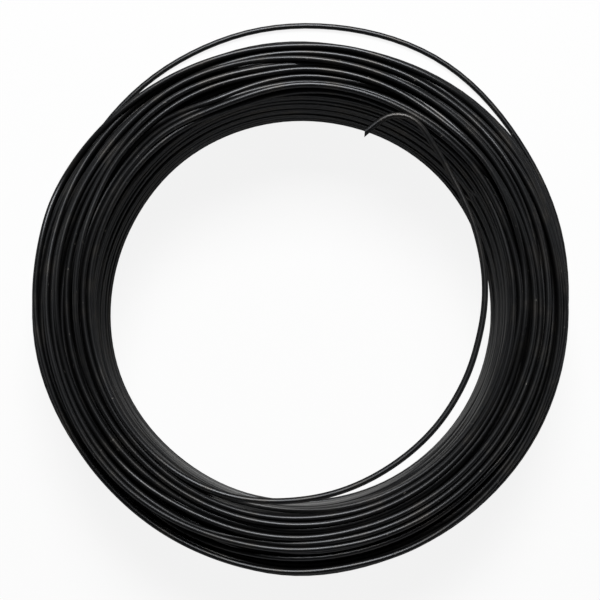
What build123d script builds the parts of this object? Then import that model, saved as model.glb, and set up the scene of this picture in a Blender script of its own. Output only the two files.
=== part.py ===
from build123d import *

import os
from math import atan2, cos, radians, sin, tan

# Coil of black annealed steel wire, lying on its end. The axis is upright, and the origin is on the
# axis, level with the surface that the coil lies on. The coil is one length of wire, so it is one
# solid: a turned body whose lower end and rim show the turns, the loose turn that has slipped out of
# the rim, and the last turns. These run inwards over the upper end, and the wire's free end springs
# from them across the mouth of the bore and hooks back over its edge.

# The wire and its winding, in millimetres. The layers nest, so they lie closer than the turns do.
wire_diameter = 1.6
bore_diameter = 105.0
layer_count = 12
turn_count = 23
layer_pitch_share = 0.88

# The last layers before the rim are this many turns short at each end, which rounds the section. The
# upper end is level as far as the shoulder's layer and slopes from there down to the rim.
rim_turns_short = (1, 3, 5)
shoulder_layer = 7

# A turn shows above its neighbours down to this angle, in degrees, over the level of its centre.
valley_angle = 30.0

# The loose turn is wider than the rim's own turns. It is shifted to one side and dips to the floor.
loose_turn_slack = 3.2
loose_turn_shift = 7.9
loose_turn_bearing = 67.0
loose_turn_dip = 2.0

# The top turns cross the far side (+Y) and the near side (-Y) of the upper end in turn, at these shares
# of the winding's width from the bore. They are bedded in the layers below them, and the first one
# rises out of the shoulder in a short bend.
top_far_shares = (0.92, 0.815, 0.715, 0.615, 0.515, 0.415, 0.265, 0.16)
top_near_shares = (0.885, 0.555, 0.455, 0.355, 0.255, 0.155, 0.06)
top_turn_bedding = 0.24
riser_radius = 8.0
riser_turn = 42.0

# The free end follows the bore's edge, bends inwards, sweeps across the mouth, straightens and ends in
# a hook. It slopes upwards to the near side, and the hook leans upwards too. Turns are in degrees.
end_slope = 2.1
end_edge_share = 1.025
end_edge_turn = 127.0
end_bend_radius = 30.0
end_bend_turn = 9.5
end_sweep_share = 0.975
end_sweep_turn = 147.0
end_stretch_share = 1.84
end_stretch_turn = 19.0
end_hook_lean = 9.0
end_hook_radius = 9.4
end_hook_turn = 124.0
end_cut_angle = 45.0

wire_radius = wire_diameter / 2
bore_radius = bore_diameter / 2
layer_pitch = wire_diameter * layer_pitch_share
stack_height = turn_count * wire_diameter
last_layer = layer_count - 1
first_short_layer = layer_count - len(rim_turns_short)


def layer_radius(layer):
    """Radius of a layer's turns, at the middle of the wire."""
    return bore_radius + wire_radius + layer * layer_pitch


def turns_in(layer):
    """Turns stacked in a layer. Every second layer nests half a turn in, so it has one fewer."""
    nested = turn_count - layer % 2
    if layer < first_short_layer:
        return nested
    return nested - 2 * rim_turns_short[layer - first_short_layer]


def turns_clear(layer):
    """Turns at each end of a layer that the next layer leaves uncovered."""
    return max(0, (turns_in(layer) - turns_in(layer + 1)) // 2)


def turn_centre(layer, turn):
    """Place of a turn in the section, counted up from the layer's lowest turn."""
    stack_middle = (turns_in(layer) - 1) / 2
    return layer_radius(layer), stack_height / 2 + (turn - stack_middle) * wire_diameter


def lower_rounds():
    """Turns that show on the lower end, as layer, turn and the angles where a round starts and ends."""
    rounds = []
    for layer in range(last_layer):
        covered = turns_clear(layer)
        inner_angle = -180 if layer == 0 else valley_angle - 180
        for turn in range(covered + 1):
            start = inner_angle if turn == 0 else valley_angle - 90
            end = -valley_angle if turn == covered else 90 - valley_angle
            rounds.append((layer, turn, start, end))
    return rounds


def rim_rounds():
    """Turns that show on the rim, up to the shoulder, in the same form."""
    rounds = []
    for turn in range(turns_in(last_layer)):
        start = valley_angle - 180 if turn == 0 else valley_angle - 90
        rounds.append((last_layer, turn, start, 90 - valley_angle))
    inner_layer = last_layer - 1
    inner_turns = turns_in(inner_layer)
    for turn in range(inner_turns - turns_clear(inner_layer), inner_turns):
        rounds.append((inner_layer, turn, valley_angle - 90, 90 - valley_angle))
    return rounds


def bearing(angle):
    """Level direction at an angle from +X towards +Y, in degrees."""
    return Vector(cos(radians(angle)), sin(radians(angle)), 0)


def sloping_plane(origin, uphill, slope):
    """Plane through origin that rises by slope, in degrees, towards the bearing uphill."""
    level = bearing(uphill)
    up = Vector(0, 0, 1)
    along = level * cos(radians(slope)) + up * sin(radians(slope))
    normal = up * cos(radians(slope)) - level * sin(radians(slope))
    return Plane(origin=origin, x_dir=along, z_dir=normal)


# Wound body: the section's outline, turned about the axis, with a plain bore.
shoulder_edge = Vector(layer_radius(shoulder_layer), stack_height)
with BuildPart() as wound_body:
    with BuildSketch(Plane.XZ):
        with BuildLine():
            turns = [
                CenterArc(turn_centre(layer, turn), wire_radius, start, end - start)
                for layer, turn, start, end in lower_rounds() + rim_rounds()
            ]
            for lower, upper in zip(turns, turns[1:]):
                Line(lower @ 1, upper @ 0)
            shoulder_run = turns[-1] @ 1 - shoulder_edge
            mouth = CenterArc(turn_centre(0, turn_count - 1), wire_radius, 90, 90)
            Polyline(turns[-1] @ 1, shoulder_edge, mouth @ 0)
            Line(mouth @ 1, turns[0] @ 0)
        make_face()
    revolve(axis=Axis.Z)

# Loose turn: a ring that leaves the rim on one side and touches the floor at its furthest point.
loose_turn_radius = layer_radius(last_layer) + loose_turn_slack
loose_turn_middle = bearing(loose_turn_bearing) * loose_turn_shift
loose_turn_middle += Vector(0, 0, wire_radius + loose_turn_radius * sin(radians(loose_turn_dip)))
with BuildPart(sloping_plane(loose_turn_middle, loose_turn_bearing, -loose_turn_dip)) as loose_turn:
    Torus(loose_turn_radius, wire_radius)

# Top turns: half circles from side to side of the upper end, each a little further in. The first one
# starts inside the body and comes up square to the shoulder.
winding_width = layer_radius(last_layer) + wire_radius - bore_radius
top_turn_clear = wire_radius - top_turn_bedding
shoulder_angle = atan2(-shoulder_run.Y, shoulder_run.X)


def crossing(side, width_share):
    """Where a top turn crosses the far side (1) or the near side (-1), bedded in what is under it."""
    radius = bore_radius + winding_width * width_share
    past_edge = radius - shoulder_edge.X
    on_shoulder = top_turn_clear / cos(shoulder_angle) - past_edge * tan(shoulder_angle)
    return Vector(0, side * radius, stack_height + min(top_turn_clear, on_shoulder))


crossings = [crossing(1, top_far_shares[0])]
for near_share, far_share in zip(top_near_shares, top_far_shares[1:]):
    crossings += [crossing(-1, near_share), crossing(1, far_share)]
leftwards = Vector(-1, 0, 0)

riser_facing = (0, cos(shoulder_angle), -sin(shoulder_angle))
with BuildLine(Plane(origin=crossings[0], x_dir=-leftwards, z_dir=riser_facing)) as riser_route:
    JernArc((0, 0), (1, 0), riser_radius, riser_turn)
with BuildLine() as top_route:
    for number, (start, end) in enumerate(zip(crossings, crossings[1:])):
        outwards = leftwards if number % 2 == 0 else -leftwards
        ThreePointArc(start, (start + end) / 2 + outwards * ((end - start).length / 2), end)

# Free end: it leaves the last crossing in a plane that rises to the near side.
end_plane = sloping_plane(crossings[-1], -90, end_slope)
with BuildLine(end_plane) as end_route:
    edge = JernArc((0, 0), (0, -1), bore_radius * end_edge_share, end_edge_turn)
    bend = JernArc(edge @ 1, edge % 1, end_bend_radius, end_bend_turn)
    sweep_bend = JernArc(bend @ 1, bend % 1, bore_radius * end_sweep_share, end_sweep_turn)
hook_facing = end_plane.z_dir.rotate(Axis((0, 0, 0), sweep_bend % 1), end_hook_lean)
with BuildLine(Plane(origin=sweep_bend @ 1, x_dir=sweep_bend % 1, z_dir=hook_facing)) as hook_route:
    stretch = JernArc((0, 0), (1, 0), bore_radius * end_stretch_share, end_stretch_turn)
    hook = JernArc(stretch @ 1, stretch % 1, end_hook_radius, end_hook_turn)

# The wire along those routes, with the slanting face that the cutters left.
with BuildPart() as top_wire:
    with BuildLine() as wire_route:
        for route in (riser_route, top_route, end_route, hook_route):
            add(route.line)
    with BuildSketch(Plane(origin=hook @ 1, z_dir=hook % 1)):
        Circle(wire_radius)
    sweep(path=wire_route.line)
    cut_facing = (hook % 1).rotate(Axis((0, 0, 0), hook_facing), end_cut_angle)
    with BuildSketch(Plane(origin=(hook @ 1) - (hook % 1) * wire_radius, z_dir=cut_facing)):
        Circle(wire_diameter)
    extrude(amount=wire_diameter, mode=Mode.SUBTRACT)

# The three stretches are one wire.
with BuildPart() as wire_coil:
    add(wound_body.part)
    add(loose_turn.part)
    add(top_wire.part)
wire_coil.part.label = "wire_coil"

os.makedirs("parts", exist_ok=True)
export_step(wire_coil.part, "parts/wire_coil.step")
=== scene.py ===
from math import cos, pi, radians, sin, tan

import bpy
import numpy as np
from bpy.props import FloatProperty, FloatVectorProperty, IntProperty, PointerProperty
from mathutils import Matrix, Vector


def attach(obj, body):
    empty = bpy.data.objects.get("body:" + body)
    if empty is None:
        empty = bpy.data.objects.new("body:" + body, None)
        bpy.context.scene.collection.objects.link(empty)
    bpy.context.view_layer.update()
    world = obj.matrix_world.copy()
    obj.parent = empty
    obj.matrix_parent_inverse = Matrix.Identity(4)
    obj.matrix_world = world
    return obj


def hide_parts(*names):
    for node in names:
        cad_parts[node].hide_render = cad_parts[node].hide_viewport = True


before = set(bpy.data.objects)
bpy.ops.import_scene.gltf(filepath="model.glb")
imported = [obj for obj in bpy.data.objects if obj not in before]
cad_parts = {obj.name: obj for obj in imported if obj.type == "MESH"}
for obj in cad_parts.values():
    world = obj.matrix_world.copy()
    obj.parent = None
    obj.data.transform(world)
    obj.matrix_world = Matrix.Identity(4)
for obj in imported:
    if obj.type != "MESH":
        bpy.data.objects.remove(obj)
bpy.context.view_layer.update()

bl_info = {
    "name": "Coil of black wire",
    "version": (1, 0, 0),
    "blender": (4, 5, 0),
    "location": "View3D > Sidebar > Wire coil",
    "description": "Winds a coil of black annealed wire from one length of wire and sets its studio",
    "category": "Add Mesh",
}

MM = 0.001
FULL_TURN = 360
COIL_NODE = "wire_coil"
SEED = 2708
WHITE = (1.0, 1.0, 1.0)

# The photograph is square. Places on it are given as a bearing, in degrees from +X towards +Y, and a
# distance in pixels from the middle of the coil.
PHOTO_PIXELS = 600
PHOTO_MIDDLE = (299.5, 308.5)

# A wire is followed on the photograph by the line of sheen on its far side, which lies this many pixels
# above its middle.
SHEEN_SHIFT = 1.1

# The wire on the coil's upper end, followed from the rim inwards, one row for each turn. The last
# row goes on past its full turn, across the mouth of the bore and into the hook at the free end.
TOP_TURNS = (
    (
        (0, 266), (10, 264.5), (20, 264), (30, 266), (40, 267), (50, 268.2), (60, 267), (70, 265),
        (80, 265.5), (90, 263.5), (110, 264.3), (120, 265.5), (140, 268), (157, 270), (165, 267),
        (180, 264.2), (190, 261.5), (200, 260), (225, 259), (250, 260.5), (267, 262.8), (283, 261),
        (292, 263), (310, 262.7), (340, 261),
    ),
    (
        (0, 260.5), (20, 261.2), (40, 261.3), (50, 260.8), (58, 262), (132, 262.5), (145, 260.5),
        (160, 257), (180, 253), (200, 250.5), (215, 250), (225, 249), (235, 246.5), (245, 243.3),
        (255, 241), (280, 240), (300, 242), (320, 243.5), (340, 246),
    ),
    (
        (0, 249), (20, 252), (40, 256), (65, 257.5), (90, 257), (110, 256), (140, 253), (150, 251),
        (165, 249.5), (180, 247), (200, 245.5), (225, 244), (235, 242), (245, 241), (250, 238.5),
        (255, 235.5), (270, 234.5), (280, 233.5), (300, 235), (320, 236.5), (340, 238.5), (355, 241.5),
    ),
    (
        (0, 241), (20, 242), (40, 246), (60, 248), (80, 250), (95, 252), (110, 254.5), (120, 255.5),
        (130, 253), (140, 250.5), (160, 248), (170, 246), (180, 243), (200, 239.5), (215, 237),
        (225, 235), (235, 231.5), (245, 229.2), (270, 228.5), (285, 227), (300, 228.5), (320, 230.5),
        (340, 232.5), (350, 235),
    ),
    (
        (0, 235.5), (15, 236.5), (30, 237.5), (45, 238.5), (60, 240.5), (70, 243), (90, 245),
        (100, 244), (110, 245.5), (120, 247.5), (130, 245.5), (140, 241), (150, 238), (170, 235),
        (180, 232.5), (200, 230), (220, 227), (230, 225), (250, 222.5), (270, 222), (300, 222.3),
        (330, 222.5), (350, 224),
    ),
    (
        (0, 226), (20, 231), (30, 235), (40, 238), (50, 236), (57, 236.5), (65, 239), (75, 240.5),
        (88, 241), (95, 239), (100, 237.5), (110, 239), (120, 239.8), (130, 238), (140, 236.5),
        (150, 232), (160, 229), (180, 224), (200, 221.5), (220, 218.5), (240, 216.8), (270, 215.5),
        (290, 215.5), (310, 216.3), (330, 217.2), (350, 218),
    ),
    (
        (0, 221.5), (20, 222.5), (30, 223.5), (40, 226), (50, 225.3), (60, 225.5), (80, 226),
        (90, 225.3), (95, 223.5), (105, 219), (110, 218), (115, 218.3), (120, 220), (128, 223),
        (135, 222), (150, 220.5), (170, 218.5), (180, 216), (200, 213), (220, 211.5), (240, 211),
        (260, 209.5), (275, 208.5), (300, 210.3), (320, 212), (340, 213.3),
    ),
    (
        (0, 214), (10, 215.5), (20, 216.5), (30, 218.5), (40, 221), (50, 220.5), (80, 221), (90, 219),
        (95, 217), (105, 212.5), (110, 213), (120, 215), (128, 216.5), (140, 216.5), (150, 215),
        (170, 212), (180, 209.5), (200, 207.5), (210, 208), (220, 206.5), (230, 205), (240, 202.5),
        (250, 199), (260, 194.5), (270, 190.2), (280, 187.1), (290, 184), (300, 181.5), (310, 180.3),
        (330, 179.5), (350, 181.1), (360, 184.5), (370, 188), (380, 191.3), (386, 194), (393, 197),
        (397, 199.4), (401, 202), (405, 206.2), (408, 209.4), (412, 213.7), (415.4, 219), (417, 220.7),
        (418.7, 221.7), (421, 221.3), (423, 218.7), (425, 214.2), (426.3, 208.8), (428, 198.8),
        (430.1, 186.4),
    ),
)

# Stretches of a layer's top turn that show between the turns above, as the layer and its places.
SHOWING_TURNS = (
    (0, ((250, 201), (260, 200), (270, 200.8), (280, 202), (300, 204.5), (320, 207), (340, 209))),
    (3, (
        (45, 230), (60, 228.5), (90, 227.5), (100, 224), (110, 222), (120, 224.3), (128, 228), (150, 226),
        (180, 223),
    )),
    (4, ((82, 233.8), (90, 234), (95, 232), (100, 229.8), (105, 227.3), (110, 225.4))),
    (6, ((222, 244.2), (235, 242), (245, 241), (255, 240.5))),
    (8, ((245, 249.6), (255, 249), (262, 248.7), (270, 248.8), (280, 248), (295, 248.4), (312, 248.6))),
)

# Stretches of a layer's top turn that have sunk: layer, from and to bearing, and depth in millimetres.
SUNK_TURNS = ((3, 248, 340, 2.0), (5, 222, 256, 2.0), (9, 245, 290, 1.4))

# Stretches of the top turns that lie under the turn before instead of on it: turn, from and to bearing,
# and how far they have sunk between the layers, in millimetres, below zero where they bridge them.
TUCKED_UNDER = (
    (1, 46, 152, 0.0), (1, 152, 164, -0.9), (1, 164, 174, -1.8), (1, 174, 184, -2.8), (2, 184, 240, 0.0),
    (2, 240, 272, 2.2), (4, 48, 100, 2.2), (4, 232, 352, 1.8), (7, 12, 140, 0.0),
)

# How far the rim and the bore stand out of round, and how far the bore's upper edge is pressed open, in
# millimetres against the bearing.
RIM_WANDER = (
    (0, 0.5), (10, 0.4), (20, 1.2), (35, 1.9), (50, 1.8), (60, 1.3), (70, 0.6), (80, 0.2), (90, 0.5),
    (100, 0.4), (110, 0.1), (120, -0.3), (155, 0.3), (180, 0.2), (190, 0.4), (200, -0.3), (215, -1.2),
    (230, -1.5), (250, -0.9), (267, 0.3), (287, -0.5), (310, -0.1), (330, 0.5),
)
BORE_WANDER = (
    (0, 0.55), (30, 0.9), (40, 1.1), (60, 0.85), (80, 0.4), (110, 0.15), (130, 0.25), (150, -0.15),
    (170, 0.05), (185, 0.4), (200, 0.6), (230, 0.0), (250, 0.3), (300, 0.4), (320, 0.55), (340, 0.6),
)
MOUTH_FLARE = ((0, 0.0), (30, 0.8), (60, 1.4), (90, 1.2), (115, 0.7), (130, 0.5), (165, 0.2), (300, 0.0))

# The loose turn, which dips to the floor, in millimetres from the coil's axis against the bearing.
LOOSE_TURN = (
    (-145, 69.2), (-60, 69.6), (-20, 71.6), (0, 73.9), (20, 75.9), (35, 76.7), (45, 78.1), (55, 79.8),
    (65, 80.5), (80, 79.9), (100, 79.3), (110, 78.1), (120, 77.3), (135, 75.3), (155, 72.6), (180, 69.9),
    (215, 69.2),
)

# The curves above, except for the top turns, are eased over this many degrees.
CURVE_EASE = 6

# A wire that rests on another one begins to slip down beside it at the first of these distances between
# their middles, and is off it at the second. Both are shares of the wire's diameter, as is the slip.
SLIP_FROM = 0.72
SLIP_TO = 0.94
SLIP_DEPTH = 2

# Sides of the wire's section in the layers and where single turns show, and the slope of the free end's cut.
LAYER_SIDES = 8
SINGLE_TURN_SIDES = 14
END_CUT_SLOPE = -1.0


class WireCoilWinding(bpy.types.PropertyGroup):
    """Sizes of the wire and of its winding."""

    wire_diameter: FloatProperty(
        name="Wire diameter", description="Thickness of the wire",
        default=1.6 * MM, min=0.2 * MM, precision=5, unit="LENGTH", subtype="DISTANCE",
    )
    bore_diameter: FloatProperty(
        name="Bore diameter", description="Width of the open middle of the coil",
        default=105.0 * MM, min=10 * MM, precision=5, unit="LENGTH", subtype="DISTANCE",
    )
    layer_count: IntProperty(
        name="Layers", description="Layers of wire between the bore and the rim", default=12, min=4,
    )
    turn_count: IntProperty(
        name="Turns in a layer", description="Turns stacked in a full layer", default=23, min=12,
    )
    layer_pitch_share: FloatProperty(
        name="Layer pitch", description="Step from layer to layer, as a share of the wire's diameter",
        default=0.88, min=0.8, max=1.2, subtype="FACTOR",
    )
    crossover_bearing: FloatProperty(
        name="Crossover bearing", description="Where each turn steps over to the next place in its layer",
        default=radians(35), subtype="ANGLE",
    )
    crossover_width: FloatProperty(
        name="Crossover width", description="Part of a turn over which the wire steps across",
        default=radians(46), subtype="ANGLE",
    )
    unevenness: FloatProperty(
        name="Unevenness", description="How far the turns wander from their places",
        default=0.16 * MM, min=0.0, precision=5, unit="LENGTH", subtype="DISTANCE",
    )
    end_slope: FloatProperty(
        name="Slope of the free end", description="Rise of the free end towards the near side of the bore",
        default=radians(2.1), subtype="ANGLE",
    )
    end_hook_lean: FloatProperty(
        name="Lean of the hook", description="Rise of the hook at the free end",
        default=radians(1.0), subtype="ANGLE",
    )


class WireCoilFinish(bpy.types.PropertyGroup):
    """Colours and sheen of the annealed wire."""

    scale_color: FloatVectorProperty(
        name="Scale", description="Blue-black of the sound annealing scale",
        default=(0.040, 0.041, 0.043), size=3, min=0.0, max=1.0, subtype="COLOR",
    )
    worn_color: FloatVectorProperty(
        name="Worn scale", description="Brown-black where the scale is thin",
        default=(0.055, 0.052, 0.048), size=3, min=0.0, max=1.0, subtype="COLOR",
    )
    dust_color: FloatVectorProperty(
        name="Dust", description="Pale specks that cling to the wire",
        default=(0.20, 0.19, 0.175), size=3, min=0.0, max=1.0, subtype="COLOR",
    )
    # Painted light: a pale grey put on the bore's wall where the soft key falls on it, standing in for that
    # light; the far side is left dark as painted shade.
    painted_wall_light_color: FloatVectorProperty(
        name="Rubbed scale", description="Dull grey of the bore, where the turns rubbed on the winding drum",
        default=(0.105, 0.105, 0.104), size=3, min=0.0, max=1.0, subtype="COLOR",
    )
    edge_tint: FloatVectorProperty(
        name="Edge tint", description="How much the scale mirrors at a grazing angle",
        default=(0.05, 0.05, 0.05), size=3, min=0.0, max=1.0, subtype="COLOR",
    )
    metallic: FloatProperty(
        name="Metallic", description="How far the scale mirrors as metal does",
        default=0.92, min=0.0, max=1.0, subtype="FACTOR",
    )
    roughness: FloatProperty(
        name="Roughness", description="Roughness of the sound scale",
        default=0.30, min=0.0, max=1.0, subtype="FACTOR",
    )


class WireCoilStage(bpy.types.PropertyGroup):
    """Camera, floor and light."""

    camera_height: FloatProperty(
        name="Camera height", description="Height of the camera over the floor",
        default=410.0 * MM, min=100 * MM, unit="LENGTH", subtype="DISTANCE",
    )
    camera_back: FloatProperty(
        name="Camera offset", description="How far the camera stands from the coil's axis, towards -Y",
        default=8.0 * MM, unit="LENGTH", subtype="DISTANCE",
    )
    camera_tilt: FloatProperty(
        name="Camera tilt", description="Angle between the line of sight and straight down",
        default=radians(1.506), subtype="ANGLE",
    )
    field_of_view: FloatProperty(
        name="Field of view", description="Angle that the photograph takes in",
        default=radians(23.1), subtype="ANGLE",
    )
    key_power: FloatProperty(
        name="Key light", description="Power of the soft light from the far side, in watts",
        default=12.6, min=0.0, unit="POWER",
    )
    sky_strength: FloatProperty(
        name="Room light", description="Strength of the even light from all round",
        default=0.025, min=0.0,
    )
    floor_color: FloatVectorProperty(
        name="Floor", description="Colour of the floor",
        default=(0.9, 0.9, 0.9), size=3, min=0.0, max=1.0, subtype="COLOR",
    )


def smooth_step(share):
    """A soft ramp from 0 to 1."""
    held = np.clip(share, 0.0, 1.0)
    return held * held * (3 - 2 * held)


def softened(values, spread, ends="edge"):
    """Values along a line, averaged over a bell of that spread, in steps."""
    reach = int(3 * spread) + 1
    bell = np.exp(-0.5 * (np.arange(-reach, reach + 1) / spread) ** 2)
    return np.convolve(np.pad(values, reach, mode=ends), bell / bell.sum(), mode="valid")


def highest_near(values, reach):
    """The highest of the values within reach steps of each place."""
    padded = np.pad(values, reach, mode="edge")
    return np.lib.stride_tricks.sliding_window_view(padded, 2 * reach + 1).max(axis=1)


def around_coil(places, bearings):
    """Given (bearing, value) places as a smooth closed curve, read at the bearings."""
    known, values = np.array(places, float).T
    degrees = np.arange(FULL_TURN)
    closed = softened(np.interp(degrees, known, values, period=FULL_TURN), CURVE_EASE, "wrap")
    return np.interp(bearings, degrees, closed, period=FULL_TURN)


def polar(bearings, radius, height):
    """Points from bearings in degrees, distances from the coil's axis and heights."""
    angle = np.radians(bearings)
    return np.stack([radius * np.cos(angle), radius * np.sin(angle), height], axis=1)


def photo_pixels(bearing, distance):
    """Places on the photograph of a wire whose sheen was seen at that bearing and distance."""
    angle = np.radians(bearing)
    across = PHOTO_MIDDLE[0] + distance * np.cos(angle)
    down = PHOTO_MIDDLE[1] + SHEEN_SHIFT - distance * np.sin(angle)
    return np.stack([across, down], axis=1)


def rest_on(radius, under_radius, under_height, wire):
    """Height at which a wire rests on another one. Where the two are nearly side by side, it slips down."""
    aside = np.minimum(np.abs(radius - under_radius) / wire, 1.0)
    slip = SLIP_DEPTH * smooth_step((aside - SLIP_FROM) / (SLIP_TO - SLIP_FROM))
    return np.where(aside < SLIP_TO, under_height + (np.sqrt(1 - aside**2) - slip) * wire, -np.inf)


def resting_height(bearing, radius, supports, wire):
    """Height at which a wire rests on the highest of the turns below it."""
    best = np.full(len(bearing), -np.inf)
    for known, under_radius, under_height in supports:
        beside = np.interp(bearing, known, under_radius, period=FULL_TURN)
        below = np.interp(bearing, known, under_height, period=FULL_TURN)
        best = np.maximum(best, rest_on(radius, beside, below, wire))
    return best


class Winding:
    """The wire's whole route: the layers from the bore outwards, the loose turn and the last layer."""

    # Points in a turn, the turns that layers lack at their ends, and where the wire and its loose turn start.
    stations = 120
    upper_turns_short = {7: 1, 8: 2, 9: 2, 10: 3, 11: 5}
    lower_turns_short = {9: 1, 10: 3, 11: 5}
    start_bearing = 200
    loose_bearing = 215

    # The loose turn swings out over so many degrees, and is down on the floor where it has this much slack.
    loose_lead_in = 30
    loose_slack = 6 * MM

    # Spread of the crossovers' widths, and each turn's own offset as a share of the unevenness.
    crossover_swing = 0.25
    turn_offset = 0.35

    # How far single turns stand out of the bore's wall, in how many waves, less a share for the mean. It
    # fades outwards by a power, and is full above this share of the height.
    proud_turns = 0.65 * MM
    proud_waves = 3
    proud_mean = 0.25
    proud_fade = 12
    proud_from = 0.25

    # Powers by which the mouth's flare grows upwards and fades outwards.
    flare_growth = 4
    flare_fade = 1.5

    # The drift that neighbouring turns share: its size as a share of the unevenness, its waves, how they
    # shrink and twist, its share upwards, and the share of the height above which that is full.
    drift_size = 0.6
    drift_waves = 6
    drift_shrink = 0.7
    drift_twist = 9
    lift_size = 0.7
    lift_from = 0.125

    # Degrees over which a moved stretch blends in, and the easing of its line and of its level, in stations.
    showing_blend = 22
    line_ease = 1.5
    level_ease = 2

    def __init__(self, settings, camera):
        self.settings = settings
        self.wire = settings.wire_diameter
        self.chance = np.random.default_rng(SEED)
        self.last_layer = settings.layer_count - 1
        self.list_turns()
        self.walk()
        for layer, first, last, depth in SUNK_TURNS:
            at, bearing = self.top_turn(layer)
            self.height[at] -= self.stretch(bearing, first, last) * depth * MM
        for layer, places in SHOWING_TURNS:
            self.show_turn(layer, places, camera)

    def layer_radius(self, layer):
        """Distance from the axis to the middle of a layer's wire."""
        pitch = self.wire * self.settings.layer_pitch_share
        return self.settings.bore_diameter / 2 + self.wire / 2 + layer * pitch

    def layer_heights(self, layer):
        """Heights of a layer's turns, from the floor up. Every second layer nests half a turn in."""
        nested = layer % 2
        count = self.settings.turn_count - nested
        first = self.lower_turns_short.get(layer, 0)
        turns = np.arange(first, count - self.upper_turns_short.get(layer, 0))
        return (turns + 0.5 + nested / 2) * self.wire

    def list_turns(self):
        """Lists the turns in the order in which they were wound: even layers downwards, odd ones up."""
        crossover = np.degrees(self.settings.crossover_bearing)
        turns = []
        for layer in range(self.settings.layer_count):
            heights = self.layer_heights(layer)
            if layer % 2 == 0:
                heights = heights[::-1]
            if layer == self.last_layer:
                self.loose_at = len(turns)
                turns.append((layer, heights[0] - self.wire))
            turns += [(layer, height) for height in heights]
        spans = np.full(len(turns), float(FULL_TURN))
        spans[0] = crossover + FULL_TURN - self.start_bearing
        spans[self.loose_at - 1] = self.loose_bearing - crossover
        spans[self.loose_at + 1] = crossover + FULL_TURN - self.loose_bearing
        self.turn_layer = np.array([layer for layer, height in turns])
        self.turn_height = np.array([height for layer, height in turns])
        self.turn_start = self.start_bearing + np.concatenate([[0], np.cumsum(spans)])

    def walk(self):
        """Places the stations along the turns and moves them as the coil lies."""
        settings = self.settings
        step = FULL_TURN / self.stations
        self.bearing = np.arange(self.turn_start[0], self.turn_start[-1], step)
        turn_count = len(self.turn_layer)
        self.turn = np.searchsorted(self.turn_start, self.bearing, side="right") - 1
        offset = self.chance.normal(0.0, settings.unevenness * self.turn_offset, (2, turn_count))
        swing = self.chance.uniform(-self.crossover_swing, self.crossover_swing, turn_count)

        width = np.degrees(settings.crossover_width)
        to_end = self.turn_start[self.turn + 1] - self.bearing
        share = smooth_step(1 - to_end / (width * (1 + swing[self.turn])))
        following = np.minimum(self.turn + 1, turn_count - 1)

        layer = self.turn_layer * 1.0
        radius = self.layer_radius(layer) + offset[0]
        height = self.turn_height + offset[1]
        self.radius = radius[self.turn] * (1 - share) + radius[following] * share
        self.height = height[self.turn] * (1 - share) + height[following] * share
        depth = (layer[self.turn] * (1 - share) + layer[following] * share) / self.last_layer

        full_height = settings.turn_count * self.wire
        level = self.height / full_height
        self.radius += around_coil(RIM_WANDER, self.bearing) * MM * depth
        self.radius += around_coil(BORE_WANDER, self.bearing) * MM * (1 - depth)
        self.radius -= self.proud() * (1 - depth) ** self.proud_fade * smooth_step(level / self.proud_from)
        flare = np.maximum(level, 0.0) ** self.flare_growth * np.maximum(1 - depth, 0.0) ** self.flare_fade
        self.radius += around_coil(MOUTH_FLARE, self.bearing) * MM * flare
        self.radius += self.drift(level, depth)
        self.height += self.drift(level, depth) * smooth_step(level / self.lift_from) * self.lift_size
        self.height = np.maximum(self.height, self.wire / 2)
        self.drop_loose_turn(share)

    def proud(self):
        """How far each turn stands out of its layer, which changes along it."""
        size, phase, slow_phase = self.chance.uniform(0, 1, (3, len(self.turn_layer)))
        angle = np.radians(self.bearing)
        quick = np.sin(self.proud_waves * angle + phase[self.turn] * 2 * pi)
        slow = np.sin(angle + slow_phase[self.turn] * 2 * pi)
        return self.proud_turns * (size[self.turn] ** 2 * (1 + (quick + slow) / 2) - self.proud_mean)

    def drift(self, level, depth):
        """A slow drift that neighbouring turns share."""
        total = np.zeros(len(self.bearing))
        angle = np.radians(self.bearing)
        for waves in range(1, self.drift_waves + 1):
            phase = self.chance.uniform(0, 2 * pi)
            climb, spread = self.chance.uniform(-self.drift_twist, self.drift_twist, 2)
            twist = climb * level + spread * depth
            total += np.sin(waves * angle + twist + phase) / waves**self.drift_shrink
        return total * self.settings.unevenness * self.drift_size

    def drop_loose_turn(self, share):
        """Swings the loose turn out from the rim and lets it down to the floor."""
        start = self.turn_start[self.loose_at]
        end = self.turn_start[self.loose_at + 1]
        known, values = np.array(LOOSE_TURN).T
        own = np.arange(known[0], known[-1] + 1)
        line = softened(np.interp(own, known, values), CURVE_EASE)
        loose = self.turn == self.loose_at
        bearing = self.bearing[loose] - end + known[-1]
        radius = np.interp(bearing, own, line) * MM
        blend = smooth_step((self.bearing[loose] - start) / self.loose_lead_in) * (1 - share[loose])
        slack = np.maximum(radius - self.radius[loose], 0.0)
        self.radius[loose] += slack * blend
        sunk = smooth_step(slack / self.loose_slack) * blend
        self.height[loose] = self.height[loose] * (1 - sunk) + self.wire / 2 * sunk

    def route(self, first, last):
        """Points of the turns from first to last, and one more, where the next stretch joins on."""
        own = np.flatnonzero((self.turn >= first) & (self.turn <= last))
        reach = np.arange(own[0], min(own[-1] + 2, len(self.bearing)))
        return polar(self.bearing[reach], self.radius[reach], self.height[reach])

    def turns_of(self, first_layer, last_layer):
        """Turns of a range of layers, without the loose one."""
        own = (self.turn_layer >= first_layer) & (self.turn_layer <= last_layer)
        own[self.loose_at] = False
        return np.flatnonzero(own)

    def top_turns(self, layer):
        """The two highest turns of a layer, the highest first."""
        own = self.turns_of(layer, layer)
        return own[np.argsort(-self.turn_height[own])][:2]

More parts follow.
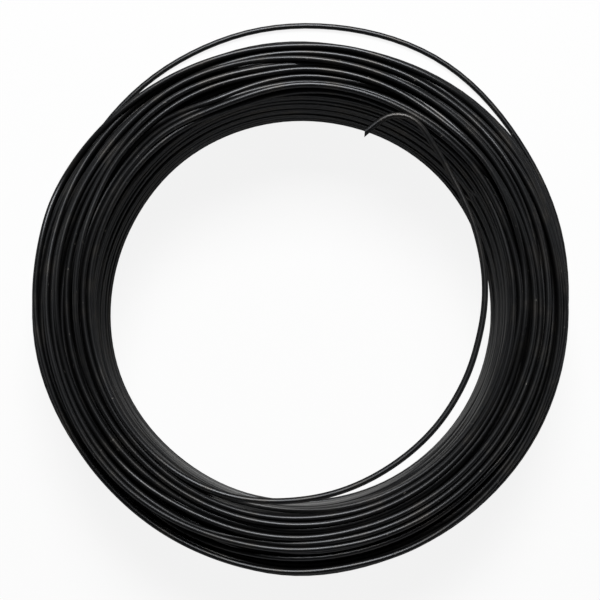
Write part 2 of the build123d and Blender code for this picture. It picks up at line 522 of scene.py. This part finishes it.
    def upper_end(self, apart_from=None):
        """The two highest turns of each layer as bearing, radius and height."""
        tops = []
        for layer in range(self.settings.layer_count):
            for turn in self.top_turns(layer):
                if turn == apart_from:
                    continue
                at = np.flatnonzero(self.turn == turn)
                at = at[np.argsort(self.bearing[at] % FULL_TURN)]
                tops.append((self.bearing[at] % FULL_TURN, self.radius[at], self.height[at]))
        return tops

    def top_turn(self, layer):
        """Stations of a layer's highest turn, and their bearings."""
        turn = self.top_turns(layer)[0]
        at = np.flatnonzero(self.turn == turn)
        first = self.turn_start[turn] % FULL_TURN
        return at, (self.bearing[at] - first) % FULL_TURN + first

    def stretch(self, bearing, first, last):
        """Share that a change between two bearings has at each bearing, with soft ends."""
        lead_in = smooth_step((bearing - first) / self.showing_blend + 1)
        lead_out = smooth_step((last - bearing) / self.showing_blend + 1)
        return lead_in * lead_out

    def show_turn(self, layer, places, camera):
        """Moves a stretch of a layer's top turn to where the photograph shows it."""
        turn = self.top_turns(layer)[0]
        at, bearing = self.top_turn(layer)
        known, seen = np.array(places, float).T
        share = self.stretch(bearing, known[0], known[-1])
        pixels = photo_pixels(bearing, softened(np.interp(bearing, known, seen), self.line_ease))
        height = self.height[at]
        radius = np.hypot(*camera.onto_level(pixels, height).T)
        ground = resting_height(bearing, radius, self.upper_end(turn), self.wire)
        laid = softened(np.maximum(ground, height - self.wire / 2), self.level_ease)
        radius = np.hypot(*camera.onto_level(pixels, laid).T)
        self.radius[at] += (radius - self.radius[at]) * share
        self.height[at] += (laid - height) * share


class PhotoCamera:
    """The camera of the photograph, which looks down on the coil."""

    def __init__(self, settings):
        self.place = np.array([0.0, -settings.camera_back, settings.camera_height])
        self.tilt = settings.camera_tilt
        self.focal = PHOTO_PIXELS / 2 / tan(settings.field_of_view / 2)

    def onto_level(self, pixels, height):
        """Points at those heights that the camera sees at those pixels."""
        across = (pixels[:, 0] - PHOTO_PIXELS / 2) / self.focal
        upward = (PHOTO_PIXELS / 2 - pixels[:, 1]) / self.focal
        ray_y = upward * cos(self.tilt) + sin(self.tilt)
        ray_z = upward * sin(self.tilt) - cos(self.tilt)
        reach = (height - self.place[2]) / ray_z
        return np.stack([self.place[0] + across * reach, self.place[1] + ray_y * reach], axis=1)


class UpperEnd:
    """The turns on the coil's upper end and the free end, laid one over the other."""

    # Step between stations, the step and the easing in degrees at which the line is followed, and the
    # easing of its bends in pixels. The hook at its end is sharper: the easing stops before it.
    step = 1.5 * MM
    fine_step = 0.1
    ease = 3.5
    bend_ease = 4
    ease_stops = 50
    ease_fades = 25

    # The wire settles on what is under it in so many passes, by this share in each. It is stiff, so it
    # bridges so many stations and bends over so many, and it sinks no deeper than this below the top.
    passes = 40
    settling = 0.6
    bridged = 4
    stiffness = 4
    deepest = 10 * MM

    # The free end's bearings on its turn: its slope is counted from the far side, it comes free of the coil,
    # and it begins to rise, fully so after some more degrees. It hooks back on the next turn. Its bedding
    # is a share of the wire's diameter.
    far_bearing = 90
    end_bearing = 150
    lift_bearing = 205
    lift_over = 100
    hook_bearing = 18
    end_bedding = 0.65

    # Degrees over which the wire tucks in under the first top turn as it comes up from the rim.
    tuck_in = 50

    def __init__(self, winding, camera):
        self.wire = winding.wire
        self.winding = winding
        self.supports = winding.upper_end()
        self.top = (winding.settings.turn_count + 1) * self.wire
        self.pixels = self.seen_route(camera)
        self.lay(camera)

    def seen_route(self, camera):
        """The wire's line on the photograph, at even steps."""
        bearings, radii = [], []
        for turn, places in enumerate(TOP_TURNS):
            for bearing, radius in places:
                bearings.append(turn * FULL_TURN + bearing)
                radii.append(radius)
        fine = np.arange(bearings[0], bearings[-1], self.fine_step)
        radius = np.interp(fine, bearings, radii)
        eased = softened(radius, self.ease / self.fine_step)
        hook = smooth_step((fine - bearings[-1] + self.ease_stops) / self.ease_fades)
        radius = eased * (1 - hook) + radius * hook
        line_x, line_y = photo_pixels(fine, radius).T
        run = np.concatenate([[0], np.cumsum(np.hypot(np.diff(line_x), np.diff(line_y)))])
        pixel_step = self.step * camera.focal / (camera.place[2] - self.top)
        even = np.arange(0, run[-1])
        own = np.linspace(0, run[-1], int(run[-1] / pixel_step) + 1)
        line = []
        for values in (line_x, line_y):
            line.append(np.interp(own, even, softened(np.interp(even, run, values), self.bend_ease)))
        return np.stack(line, axis=1)

    def lay(self, camera):
        """Finds each station's height from what lies under it, and from that its place."""
        height = np.full(len(self.pixels), self.top)
        for _ in range(self.passes):
            place = camera.onto_level(self.pixels, height)
            radius = np.hypot(place[:, 0], place[:, 1])
            bearing = np.degrees(np.unwrap(np.arctan2(place[:, 1], place[:, 0])))
            ground = self.ground(bearing, radius, height)
            wanted = highest_near(np.maximum(ground, self.raised(place, bearing)), self.bridged)
            height += (softened(wanted, self.stiffness) - height) * self.settling
        place = camera.onto_level(self.pixels, height)
        self.points = np.concatenate([self.riser(place, height[0]), np.column_stack([place, height])])

    def riser(self, place, height):
        """Points of the turn in which the wire comes up from the rim, under the first top turn."""
        winding = self.winding
        bearings = np.arange(winding.bearing[-1] % FULL_TURN, FULL_TURN, FULL_TURN / winding.stations)[1:]
        known = np.degrees(np.unwrap(np.arctan2(place[:, 1], place[:, 0])))
        over = np.hypot(place[:, 0], place[:, 1])
        tucked = smooth_step((bearings - bearings[0]) / self.tuck_in)
        risen = smooth_step((bearings - bearings[0]) / (FULL_TURN - bearings[0]))
        joined = smooth_step((bearings - FULL_TURN) / self.tuck_in + 1)
        rim = winding.layer_radius(winding.last_layer) + around_coil(RIM_WANDER, bearings) * MM
        radius = rim + (np.interp(bearings, known, over) - rim) * tucked
        radius += (over[0] - radius) * joined
        return polar(bearings, radius, winding.height[-1] + (height - winding.height[-1]) * risen)

    def ground(self, bearing, radius, height):
        """Lowest level at which the wire clears the turns under it."""
        tucked, sunk = self.tucked(bearing)
        best = resting_height(bearing, radius, self.supports, self.wire) - sunk
        for back in range(1, len(TOP_TURNS) + 1):
            earlier = bearing - back * FULL_TURN
            under_radius = np.interp(earlier, bearing, radius, left=0.0)
            under_height = np.interp(earlier, bearing, height)
            level = rest_on(radius, under_radius, under_height, self.wire)
            if back == 1:
                level[tucked] = -np.inf
            best = np.maximum(best, level)
        later = bearing + FULL_TURN
        over = np.interp(later, bearing, tucked * 1.0, right=0.0) > 0.5
        under_radius = np.interp(later, bearing, radius)
        under_height = np.interp(later, bearing, height)
        level = rest_on(radius, under_radius, under_height, self.wire)
        best = np.maximum(best, np.where(over, level, -np.inf))
        return np.maximum(best, self.top - self.deepest)

    def tucked(self, bearing):
        """Which stations lie under the turn before, and how far they have sunk."""
        under = np.zeros(len(bearing), bool)
        sunk = np.zeros(len(bearing))
        for turn, first, last, depth in TUCKED_UNDER:
            within = (bearing > turn * FULL_TURN + first) & (bearing < turn * FULL_TURN + last)
            under |= within
            sunk[within] = depth * MM
        return under, sunk

    def raised(self, place, bearing):
        """Level of the free end, which slopes up to the near side and leans up again in the hook."""
        settings = self.winding.settings
        last = (len(TOP_TURNS) - 1) * FULL_TURN
        far_side = np.argmin(np.abs(bearing - last - self.far_bearing))
        rise = (place[far_side, 1] - place[:, 1]) * tan(settings.end_slope)
        rise *= smooth_step((bearing - last - self.lift_bearing) / self.lift_over)
        level = self.top - self.wire * self.end_bedding + rise
        start = np.argmin(np.abs(bearing - last - FULL_TURN - self.hook_bearing))
        along = place[start + 1] - place[start - 1]
        left = (place - place[start]) @ np.array([-along[1], along[0]]) / np.hypot(*along)
        lean = np.where(bearing > bearing[start], left, 0.0) * tan(settings.end_hook_lean)
        return np.where(bearing > last + self.end_bearing, level + lean, -np.inf)


def tube(route, sides, radius, cut=0.0):
    """Mesh data of a round wire along a route: vertices, faces, which faces are flat, and surface places.

    Surface places are the side, the rise and the run along the wire. The far end is cut at a slant.
    """
    along = np.gradient(route, axis=0)
    along /= np.linalg.norm(along, axis=1)[:, None]
    side = np.cross(along, (0.0, 0.0, 1.0))
    side /= np.linalg.norm(side, axis=1)[:, None]
    rise = np.cross(side, along)
    angle = 2 * pi * np.arange(sides) / sides
    ring = np.cos(angle)[None, :, None] * side[:, None, :] + np.sin(angle)[None, :, None] * rise[:, None, :]
    vertices = route[:, None, :] + radius * ring
    vertices[-1] += cut * radius * np.cos(angle)[:, None] * along[-1]
    run = np.concatenate([[0], np.cumsum(np.linalg.norm(np.diff(route, axis=0), axis=1))])
    places = np.empty(vertices.shape)
    places[:, :, 0] = np.cos(angle)
    places[:, :, 1] = np.sin(angle)
    places[:, :, 2] = run[:, None]

    count = len(route)
    here = np.arange(count - 1)[:, None] * sides + np.arange(sides)[None, :]
    beside = np.arange(count - 1)[:, None] * sides + (np.arange(sides)[None, :] + 1) % sides
    quads = np.stack([here, here + sides, beside + sides, beside], axis=2).reshape(-1, 4)
    body = vertices.reshape(-1, 3)
    ends = np.concatenate([vertices[0], vertices[-1]])
    first_end = len(body)
    faces = quads.tolist()
    faces.append(list(range(first_end, first_end + sides)))
    faces.append(list(range(first_end + 2 * sides - 1, first_end + sides - 1, -1)))
    all_places = np.concatenate([places.reshape(-1, 3), places[0], places[-1]])
    return np.concatenate([body, ends]), faces, len(quads), all_places


def wire_piece(name, route, sides, radius, material, cut=0.0):
    """Makes a stretch of wire, and says what it rides on and what it stands for."""
    vertices, faces, round_faces, places = tube(route, sides, radius, cut)
    mesh = bpy.data.meshes.new(name)
    mesh.from_pydata(vertices.tolist(), [], faces)
    smooth = np.zeros(len(faces), bool)
    smooth[:round_faces] = True
    mesh.polygons.foreach_set("use_smooth", smooth)
    surface = mesh.attributes.new(WireFinish.place_name, "FLOAT_VECTOR", "POINT")
    surface.data.foreach_set("vector", places.astype(np.float32).ravel())
    mesh.materials.append(material)
    mesh.update()
    piece = bpy.data.objects.new(name, mesh)
    bpy.context.scene.collection.objects.link(piece)
    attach(piece, "root")
    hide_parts(COIL_NODE)


class Socket:
    """A value in a shader. Arithmetic on it adds Math nodes."""

    def __init__(self, shader, output):
        self.shader = shader
        self.output = output

    def maths(self, operation, first, second):
        return self.shader.node("ShaderNodeMath", {"operation": operation}, {0: first, 1: second})

    def __add__(self, other):
        return self.maths("ADD", self, other)

    def __radd__(self, other):
        return self.maths("ADD", other, self)

    def __sub__(self, other):
        return self.maths("SUBTRACT", self, other)

    def __rsub__(self, other):
        return self.maths("SUBTRACT", other, self)

    def __mul__(self, other):
        return self.maths("MULTIPLY", self, other)

    def __rmul__(self, other):
        return self.maths("MULTIPLY", other, self)


class Shader:
    """A node tree that is written as expressions."""

    # Sockets of a Mix node that carry colours.
    mix_first = 6
    mix_second = 7
    mix_result = 2

    def __init__(self, owner):
        owner.use_nodes = True
        self.tree = owner.node_tree
        self.tree.nodes.clear()

    def node(self, kind, settings=None, inputs=None, output=0):
        """Adds a node with its settings, then its socket values and links, and gives one output."""
        made = self.tree.nodes.new(kind)
        for key, value in (settings or {}).items():
            setattr(made, key, value)
        for key, value in (inputs or {}).items():
            if isinstance(value, Socket):
                self.tree.links.new(value.output, made.inputs[key])
            else:
                made.inputs[key].default_value = value
        if not made.outputs:
            return None
        return Socket(self, made.outputs[output])

    def ramp(self, value, low, high):
        """A value stretched so that low becomes 0 and high becomes 1."""
        return self.node(
            "ShaderNodeMapRange",
            {"interpolation_type": "SMOOTHSTEP"},
            {"Value": value, "From Min": low, "From Max": high},
        )

    def blend(self, share, first, second):
        """One colour fading into another."""
        return self.node(
            "ShaderNodeMix",
            {"data_type": "RGBA"},
            {"Factor": share, self.mix_first: first, self.mix_second: second},
            self.mix_result,
        )

    def stretched(self, vector, scale):
        """A vector scaled along each axis."""
        return self.node("ShaderNodeVectorMath", {"operation": "MULTIPLY"}, {0: vector, 1: scale})

    def noise(self, vector, scale, detail, rough=0.55):
        """Cloudy noise, about 0 to 1."""
        return self.node(
            "ShaderNodeTexNoise",
            {"noise_dimensions": "3D"},
            {"Vector": vector, "Scale": scale, "Detail": detail, "Roughness": rough},
        )


def opaque(color):
    """A colour with its alpha."""
    return (*color, 1.0)


class WireFinish:
    """Black annealed wire: satin scale with drawing lines along it, thin in places, and a little dust."""

    name = "black_annealed_wire"
    place_name = "wire_place"

    # Grain of the drawing lines round and along the wire, and of the painted light's streaks along and up the
    # bore's wall.
    drawing_grain = (5.0, 5.0, 12.0)
    streak_grain = (14.0, 14.0, 520.0)

    # The side of the bore's wall that faces away from the soft key, where the painted light is mostly left
    # off as painted shade, and by how much.
    painted_shade_side = (-0.21, 0.98, 0.0)
    painted_shade_share = 0.92

    @classmethod
    def make(cls, settings, winding):
        material = bpy.data.materials.new(cls.name)
        shader = Shader(material)
        own = shader.node("ShaderNodeAttribute", {"attribute_name": cls.place_name}, None, "Vector")
        spot = shader.node("ShaderNodeTexCoord", None, None, "Object")

        drawn = shader.noise(shader.stretched(own, cls.drawing_grain), 1.0, 4.0)
        worn = shader.ramp(shader.noise(spot, 140.0, 4.0, 0.6), 0.45, 0.72)
        mottle = shader.noise(spot, 1400.0, 3.0, 0.6)
        dust = shader.ramp(shader.noise(spot, 900.0, 2.0, 0.5), 0.735, 0.76)

        color = shader.blend(worn * 0.8, opaque(settings.scale_color), opaque(settings.worn_color))
        color = shader.blend(dust * 0.7, color, opaque(settings.dust_color))
        # Painted light: the bore's wall turns a pale grey where the soft key falls on it; it is also made
        # rougher and less metallic there.
        painted_wall_light = cls.painted_wall_light(shader, spot, winding)
        color = shader.blend(painted_wall_light, color, opaque(settings.painted_wall_light_color))
        metallic = settings.metallic - painted_wall_light * 0.6
        roughness = settings.roughness + drawn * 0.08 + worn * 0.06 + dust * 0.3 + painted_wall_light * 0.15
        relief = drawn * 0.7 + mottle * 0.3
        normal = shader.node(
            "ShaderNodeBump", None, {"Strength": 0.25, "Distance": 0.04 * MM, "Height": relief}
        )
        surface = shader.node(
            "ShaderNodeBsdfPrincipled",
            None,
            {
                "Base Color": color,
                "Metallic": metallic,
                "Roughness": roughness,
                "Normal": normal,
                "Specular Tint": opaque(settings.edge_tint),
            },
        )
        shader.node("ShaderNodeOutputMaterial", None, {"Surface": surface})
        return material

    @classmethod
    def painted_wall_light(cls, shader, spot, winding):
        """Share of painted light on the wall of the bore, in streaks round it, nearly none on the side that
        faces away from the key.
        """
        wall = winding.bore_diameter / 2
        mouth = winding.turn_count * winding.wire_diameter
        level = shader.stretched(spot, (1.0, 1.0, 0.0))
        from_axis = shader.node("ShaderNodeVectorMath", {"operation": "LENGTH"}, {0: level}, "Value")
        shade_side_inputs = {0: spot, 1: cls.painted_shade_side}
        sideways = shader.node("ShaderNodeVectorMath", {"operation": "DOT_PRODUCT"}, shade_side_inputs, "Value")
        height = shader.node("ShaderNodeSeparateXYZ", None, {0: spot}, "Z")
        inside = 1 - shader.ramp(from_axis, wall + 1.2 * MM, wall + 2.2 * MM)
        below = 1 - shader.ramp(height, mouth - 1.6 * MM, mouth - 0.6 * MM)
        # Painted shade: the wall that faces away from the soft key keeps almost none of the painted light.
        painted_light_side = 1 - cls.painted_shade_share * shader.ramp(sideways, -wall, wall / 4)
        streaks = shader.noise(shader.stretched(spot, cls.streak_grain), 1.0, 2.0)
        return inside * below * painted_light_side * shader.ramp(streaks, 0.42, 0.52)


def wire_material(context):
    """The wire's material, made once."""
    scene = context.scene
    found = bpy.data.materials.get(WireFinish.name)
    return found or WireFinish.make(scene.wire_coil_finish, scene.wire_coil_winding)


def wound_coil(context):
    """The winding as the settings ask for it."""
    scene = context.scene
    return Winding(scene.wire_coil_winding, PhotoCamera(scene.wire_coil_stage))


class WIRECOIL_OT_wind_layers(bpy.types.Operator):
    """Wind the layers from the bore to the rim, in four stretches of the one wire"""

    bl_idname = "wirecoil.wind_layers"
    bl_label = "Wind the layers"

    def execute(self, context):
        winding = wound_coil(context)
        last = winding.last_layer
        stretches = {
            "inner_layers": (0, 3),
            "middle_layers": (4, 7),
            "outer_layers": (8, last - 1),
            "rim_layer": (last, last),
        }
        material = wire_material(context)
        for name, layers in stretches.items():
            turns = winding.turns_of(*layers)
            wire_piece(name, winding.route(turns[0], turns[-1]), LAYER_SIDES, winding.wire / 2, material)
        return {"FINISHED"}


class WIRECOIL_OT_drop_loose_turn(bpy.types.Operator):
    """Lay the turn that has slipped out at the rim and dips to the floor"""

    bl_idname = "wirecoil.drop_loose_turn"
    bl_label = "Drop the loose turn"

    def execute(self, context):
        winding = wound_coil(context)
        route = winding.route(winding.loose_at, winding.loose_at)
        wire_piece("loose_turn", route, SINGLE_TURN_SIDES, winding.wire / 2, wire_material(context))
        return {"FINISHED"}


class WIRECOIL_OT_lay_top_turns(bpy.types.Operator):
    """Lay the last turns over the coil's upper end, with the free end that hooks back"""

    bl_idname = "wirecoil.lay_top_turns"
    bl_label = "Lay the top turns"

    def execute(self, context):
        winding = wound_coil(context)
        route = UpperEnd(winding, PhotoCamera(context.scene.wire_coil_stage)).points
        material = wire_material(context)
        wire_piece("top_turns", route, SINGLE_TURN_SIDES, winding.wire / 2, material, END_CUT_SLOPE)
        return {"FINISHED"}


class WIRECOIL_OT_set_stage(bpy.types.Operator):
    """Set the floor, the light and the camera"""

    bl_idname = "wirecoil.set_stage"
    bl_label = "Set the stage"

    # Half the floor's width, the share of it that is seen as plain white, and how far up the white backdrop
    # begins and ends to fade, as the upward part of a direction.
    floor_reach = 3.0
    white_share = 0.88
    backdrop_fade = (0.20, 0.26)

    # Place of the soft light, and the point that it is turned to.
    key_place = (0.0, 0.60, 0.86)
    key_aim = (0.0, 0.0, 0.02)

    def execute(self, context):
        settings = context.scene.wire_coil_stage
        self.add_floor(settings)
        self.add_light(settings)
        self.add_sky(context, settings)
        self.add_camera(context, settings)
        context.scene.view_settings.view_transform = "Standard"
        return {"FINISHED"}

    def add_floor(self, settings):
        reach = self.floor_reach
        mesh = bpy.data.meshes.new("studio_floor")
        corners = [(-reach, -reach, 0), (reach, -reach, 0), (reach, reach, 0), (-reach, reach, 0)]
        mesh.from_pydata(corners, [], [(0, 1, 2, 3)])
        floor = bpy.data.objects.new("studio_floor", mesh)
        bpy.context.scene.collection.objects.link(floor)
        material = bpy.data.materials.new("pale_floor")
        shader = Shader(material)
        plain = shader.node("ShaderNodeBsdfDiffuse", None, {"Color": opaque(settings.floor_color)})
        glow = shader.node("ShaderNodeEmission", None, {"Color": opaque(WHITE), "Strength": 1.0})
        share = self.direct_rays(shader) * self.white_share
        surface = shader.node("ShaderNodeMixShader", None, {0: share, 1: plain, 2: glow})
        shader.node("ShaderNodeOutputMaterial", None, {"Surface": surface})
        mesh.materials.append(material)

    def direct_rays(self, shader):
        """1 for what is seen by the camera, in the wire's gloss or through something clear."""
        kinds = ("Is Camera Ray", "Is Glossy Ray", "Is Transmission Ray")
        seen, mirrored, through = [shader.node("ShaderNodeLightPath", None, None, kind) for kind in kinds]
        return shader.ramp(seen + mirrored + through, 0.0, 1.0)

    def add_light(self, settings):
        lamp = bpy.data.lights.new("soft_key", "AREA")
        lamp.shape = "RECTANGLE"
        lamp.size = 0.45
        lamp.size_y = 0.42
        lamp.energy = settings.key_power
        key = bpy.data.objects.new("soft_key", lamp)
        key.location = self.key_place
        aim = Vector(self.key_aim) - key.location
        key.rotation_euler = aim.to_track_quat("-Z", "Y").to_euler()
        bpy.context.scene.collection.objects.link(key)

    def add_sky(self, context, settings):
        world = bpy.data.worlds.new("studio_room")
        context.scene.world = world
        shader = Shader(world)
        direction = shader.node("ShaderNodeTexCoord", None, None, "Generated")
        upward = shader.node("ShaderNodeSeparateXYZ", None, {0: direction}, "Z")
        backdrop = self.direct_rays(shader) * (1 - shader.ramp(upward, *self.backdrop_fade))
        dim = {"Color": opaque(WHITE), "Strength": settings.sky_strength}
        room = shader.node("ShaderNodeBackground", None, dim)
        bright = shader.node("ShaderNodeBackground", None, {"Color": opaque(WHITE), "Strength": 1.0})
        surface = shader.node("ShaderNodeMixShader", None, {0: backdrop, 1: room, 2: bright})
        shader.node("ShaderNodeOutputWorld", None, {"Surface": surface})

    def add_camera(self, context, settings):
        lens = bpy.data.cameras.new("photo_camera")
        lens.sensor_width = 36.0
        lens.lens = lens.sensor_width / 2 / tan(settings.field_of_view / 2)
        lens.clip_start = 10 * MM
        lens.clip_end = 20.0
        camera = bpy.data.objects.new("photo_camera", lens)
        camera.location = (0.0, -settings.camera_back, settings.camera_height)
        camera.rotation_euler = (settings.camera_tilt, 0.0, 0.0)
        context.scene.collection.objects.link(camera)
        context.scene.camera = camera


class WIRECOIL_PT_panel(bpy.types.Panel):
    """Sizes, finish and steps of the wire coil"""

    bl_idname = "WIRECOIL_PT_panel"
    bl_label = "Wire coil"
    bl_space_type = "VIEW_3D"
    bl_region_type = "UI"
    bl_category = "Wire coil"

    def draw(self, context):
        layout = self.layout
        for group in SETTINGS:
            box = layout.box()
            box.label(text=group.__doc__)
            owner = getattr(context.scene, SETTINGS[group])
            for key in group.__annotations__:
                box.prop(owner, key)
        for operator in OPERATORS:
            layout.operator(operator.bl_idname)


SETTINGS = {
    WireCoilWinding: "wire_coil_winding",
    WireCoilFinish: "wire_coil_finish",
    WireCoilStage: "wire_coil_stage",
}
OPERATORS = (
    WIRECOIL_OT_wind_layers,
    WIRECOIL_OT_drop_loose_turn,
    WIRECOIL_OT_lay_top_turns,
    WIRECOIL_OT_set_stage,
)


def register():
    for group, name in SETTINGS.items():
        bpy.utils.register_class(group)
        setattr(bpy.types.Scene, name, PointerProperty(type=group))
    for operator in OPERATORS:
        bpy.utils.register_class(operator)
    bpy.utils.register_class(WIRECOIL_PT_panel)


def unregister():
    bpy.utils.unregister_class(WIRECOIL_PT_panel)
    for operator in reversed(OPERATORS):
        bpy.utils.unregister_class(operator)
    for group, name in SETTINGS.items():
        delattr(bpy.types.Scene, name)
        bpy.utils.unregister_class(group)


def main():
    register()
    bpy.ops.wirecoil.wind_layers()
    bpy.ops.wirecoil.drop_loose_turn()
    bpy.ops.wirecoil.lay_top_turns()
    bpy.ops.wirecoil.set_stage()


if __name__ == "__main__":
    main()
